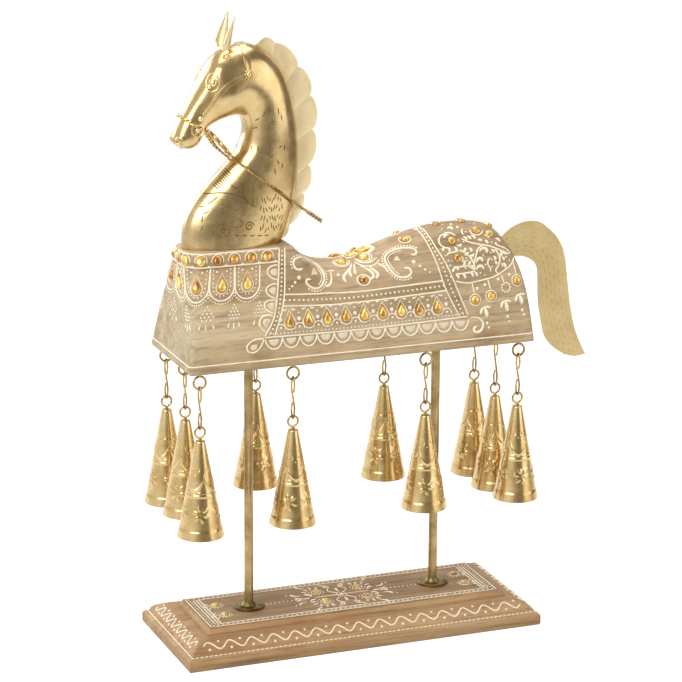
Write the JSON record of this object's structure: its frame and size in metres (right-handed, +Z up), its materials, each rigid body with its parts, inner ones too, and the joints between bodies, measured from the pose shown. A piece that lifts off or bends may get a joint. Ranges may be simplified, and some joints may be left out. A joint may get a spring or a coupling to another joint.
{
  "type": "wooden horse with bells",
  "caption": "Painted wooden horse on metal posts over a moulded base, with a sheet-brass head, mane and tail, and cone bells that swing on S-hooks under its body.",
  "frame": {"origin": "centre of the base's underside, on the surface it stands on", "axes": "+Z up, the head looks along -X, and the side that faces the camera in the picture is -Y"},
  "size_m": [0.408, 0.134, 0.5636],
  "materials": {
    "base_wood": "washed wood with raised cream paint, waxed",
    "body_wood": "washed wood with raised cream paint, waxed",
    "plain_wood": "bare",
    "post_brass": "antique, satin",
    "screw_brass": "antique, satin",
    "head_brass": "polished, with engraved strokes on the neck",
    "plate_brass": "satin, with engraved dashes",
    "stud_brass": "polished",
    "strap_brass": "polished, darkened in the hollows",
    "wire_brass": "satin",
    "eye_brass": "satin",
    "hook_brass": "satin",
    "bell_brass": "polished, with a raised ring and engraved swags",
    "clapper_brass": "satin",
    "amber_glass": "polished cabochon"
  },
  "bodies": {
    "stand": {"base_board": "base_wood", "front_post": "post_brass", "rear_post": "post_brass", "front_flange": "post_brass", "rear_flange": "post_brass", "flange_screws": "screw_brass", "horse_body": "body_wood", "neck_plug": "plain_wood", "neck_dowel": "plain_wood", "neck_shell_left": "head_brass", "neck_shell_right": "head_brass", "mane_plate": "plate_brass", "left_ear": "head_brass", "right_ear": "head_brass", "eye_studs": "stud_brass", "headstall": "strap_brass", "noseband": "strap_brass", "rosettes": "stud_brass", "reins": "wire_brass", "tail_plate": "plate_brass", "screw_eyes": "eye_brass", "collar_stones": "amber_glass", "blanket_stones": "amber_glass", "saddle_stones": "amber_glass", "rump_stones": "amber_glass", "base_stones": "amber_glass"},
    "hook_01_body": {"hook_01": "hook_brass"},
    "bell_01_body": {"bell_01": "bell_brass"},
    "clapper_01_body": {"clapper_01": "clapper_brass"},
    "hook_02_body": {"hook_02": "hook_brass"},
    "bell_02_body": {"bell_02": "bell_brass"},
    "clapper_02_body": {"clapper_02": "clapper_brass"},
    "hook_03_body": {"hook_03": "hook_brass"},
    "bell_03_body": {"bell_03": "bell_brass"},
    "clapper_03_body": {"clapper_03": "clapper_brass"},
    "hook_04_body": {"hook_04": "hook_brass"},
    "bell_04_body": {"bell_04": "bell_brass"},
    "clapper_04_body": {"clapper_04": "clapper_brass"},
    "hook_05_body": {"hook_05": "hook_brass"},
    "bell_05_body": {"bell_05": "bell_brass"},
    "clapper_05_body": {"clapper_05": "clapper_brass"},
    "hook_06_body": {"hook_06": "hook_brass"},
    "bell_06_body": {"bell_06": "bell_brass"},
    "clapper_06_body": {"clapper_06": "clapper_brass"},
    "hook_07_body": {"hook_07": "hook_brass"},
    "bell_07_body": {"bell_07": "bell_brass"},
    "clapper_07_body": {"clapper_07": "clapper_brass"},
    "hook_08_body": {"hook_08": "hook_brass"},
    "bell_08_body": {"bell_08": "bell_brass"},
    "clapper_08_body": {"clapper_08": "clapper_brass"},
    "hook_09_body": {"hook_09": "hook_brass"},
    "bell_09_body": {"bell_09": "bell_brass"},
    "clapper_09_body": {"clapper_09": "clapper_brass"},
    "hook_10_body": {"hook_10": "hook_brass"},
    "bell_10_body": {"bell_10": "bell_brass"},
    "clapper_10_body": {"clapper_10": "clapper_brass"}
  },
  "joints": [
    {"name": "hook_01_sway", "type": "hinge", "parent": "stand", "child": "hook_01_body", "pos_m": [-0.1495, -0.0455, 0.25], "axis": [1, 0, 0], "range_deg": [-45, 1.2]},
    {"name": "bell_01_swing", "type": "hinge", "parent": "hook_01_body", "child": "bell_01_body", "pos_m": [-0.1495, -0.0455, 0.21385], "axis": [0, 1, 0], "range_deg": [-22, 50]},
    {"name": "clapper_01_strike", "type": "hinge", "parent": "bell_01_body", "child": "clapper_01_body", "pos_m": [-0.1495, -0.0455, 0.19575], "axis": [1, 0, 0], "range_deg": [-11, 11]},
    {"name": "hook_02_sway", "type": "hinge", "parent": "stand", "child": "hook_02_body", "pos_m": [-0.1475, 0, 0.25], "axis": [1, 0, 0], "range_deg": [-1.2, 1.2]},
    {"name": "bell_02_swing", "type": "hinge", "parent": "hook_02_body", "child": "bell_02_body", "pos_m": [-0.1475, 0, 0.21885], "axis": [0, 1, 0], "range_deg": [-18, 50]},
    {"name": "clapper_02_strike", "type": "hinge", "parent": "bell_02_body", "child": "clapper_02_body", "pos_m": [-0.1475, 0, 0.20075], "axis": [1, 0, 0], "range_deg": [-11, 11]},
    {"name": "hook_03_sway", "type": "hinge", "parent": "stand", "child": "hook_03_body", "pos_m": [-0.1495, 0.0455, 0.25], "axis": [1, 0, 0], "range_deg": [-1.2, 45]},
    {"name": "bell_03_swing", "type": "hinge", "parent": "hook_03_body", "child": "bell_03_body", "pos_m": [-0.1495, 0.0455, 0.21585], "axis": [0, 1, 0], "range_deg": [-22, 50]},
    {"name": "clapper_03_strike", "type": "hinge", "parent": "bell_03_body", "child": "clapper_03_body", "pos_m": [-0.1495, 0.0455, 0.19775], "axis": [1, 0, 0], "range_deg": [-11, 11]},
    {"name": "hook_04_sway", "type": "hinge", "parent": "stand", "child": "hook_04_body", "pos_m": [-0.0645, -0.0455, 0.25], "axis": [1, 0, 0], "range_deg": [-45, 6]},
    {"name": "bell_04_swing", "type": "hinge", "parent": "hook_04_body", "child": "bell_04_body", "pos_m": [-0.0645, -0.0455, 0.21485], "axis": [0, 1, 0], "range_deg": [-35, 22]},
    {"name": "clapper_04_strike", "type": "hinge", "parent": "bell_04_body", "child": "clapper_04_body", "pos_m": [-0.0645, -0.0455, 0.19675], "axis": [1, 0, 0], "range_deg": [-11, 11]},
    {"name": "hook_05_sway", "type": "hinge", "parent": "stand", "child": "hook_05_body", "pos_m": [-0.066, 0.0455, 0.25], "axis": [1, 0, 0], "range_deg": [-6, 45]},
    {"name": "bell_05_swing", "type": "hinge", "parent": "hook_05_body", "child": "bell_05_body", "pos_m": [-0.066, 0.0455, 0.22185], "axis": [0, 1, 0], "range_deg": [-35, 22]},
    {"name": "clapper_05_strike", "type": "hinge", "parent": "bell_05_body", "child": "clapper_05_body", "pos_m": [-0.066, 0.0455, 0.20375], "axis": [1, 0, 0], "range_deg": [-11, 11]},
    {"name": "hook_06_sway", "type": "hinge", "parent": "stand", "child": "hook_06_body", "pos_m": [0.06, -0.0455, 0.25], "axis": [1, 0, 0], "range_deg": [-45, 6]},
    {"name": "bell_06_swing", "type": "hinge", "parent": "hook_06_body", "child": "bell_06_body", "pos_m": [0.06, -0.0455, 0.21485], "axis": [0, 1, 0], "range_deg": [-22, 35]},
    {"name": "clapper_06_strike", "type": "hinge", "parent": "bell_06_body", "child": "clapper_06_body", "pos_m": [0.06, -0.0455, 0.19675], "axis": [1, 0, 0], "range_deg": [-11, 11]},
    {"name": "hook_07_sway", "type": "hinge", "parent": "stand", "child": "hook_07_body", "pos_m": [0.058, 0.0455, 0.25], "axis": [1, 0, 0], "range_deg": [-6, 45]},
    {"name": "bell_07_swing", "type": "hinge", "parent": "hook_07_body", "child": "bell_07_body", "pos_m": [0.058, 0.0455, 0.21585], "axis": [0, 1, 0], "range_deg": [-22, 35]},
    {"name": "clapper_07_strike", "type": "hinge", "parent": "bell_07_body", "child": "clapper_07_body", "pos_m": [0.058, 0.0455, 0.19775], "axis": [1, 0, 0], "range_deg": [-11, 11]},
    {"name": "hook_08_sway", "type": "hinge", "parent": "stand", "child": "hook_08_body", "pos_m": [0.149, -0.0455, 0.25], "axis": [1, 0, 0], "range_deg": [-45, 1.2]},
    {"name": "bell_08_swing", "type": "hinge", "parent": "hook_08_body", "child": "bell_08_body", "pos_m": [0.149, -0.0455, 0.21385], "axis": [0, 1, 0], "range_deg": [-50, 22]},
    {"name": "clapper_08_strike", "type": "hinge", "parent": "bell_08_body", "child": "clapper_08_body", "pos_m": [0.149, -0.0455, 0.19575], "axis": [1, 0, 0], "range_deg": [-11, 11]},
    {"name": "hook_09_sway", "type": "hinge", "parent": "stand", "child": "hook_09_body", "pos_m": [0.148, 0, 0.25], "axis": [1, 0, 0], "range_deg": [-1.2, 1.2]},
    {"name": "bell_09_swing", "type": "hinge", "parent": "hook_09_body", "child": "bell_09_body", "pos_m": [0.148, 0, 0.20985], "axis": [0, 1, 0], "range_deg": [-50, 18]},
    {"name": "clapper_09_strike", "type": "hinge", "parent": "bell_09_body", "child": "clapper_09_body", "pos_m": [0.148, 0, 0.19175], "axis": [1, 0, 0], "range_deg": [-11, 11]},
    {"name": "hook_10_sway", "type": "hinge", "parent": "stand", "child": "hook_10_body", "pos_m": [0.1475, 0.0455, 0.25], "axis": [1, 0, 0], "range_deg": [-1.2, 45]},
    {"name": "bell_10_swing", "type": "hinge", "parent": "hook_10_body", "child": "bell_10_body", "pos_m": [0.1475, 0.0455, 0.20985], "axis": [0, 1, 0], "range_deg": [-50, 22]},
    {"name": "clapper_10_strike", "type": "hinge", "parent": "bell_10_body", "child": "clapper_10_body", "pos_m": [0.1475, 0.0455, 0.19175], "axis": [1, 0, 0], "range_deg": [-11, 11]}
  ]
}
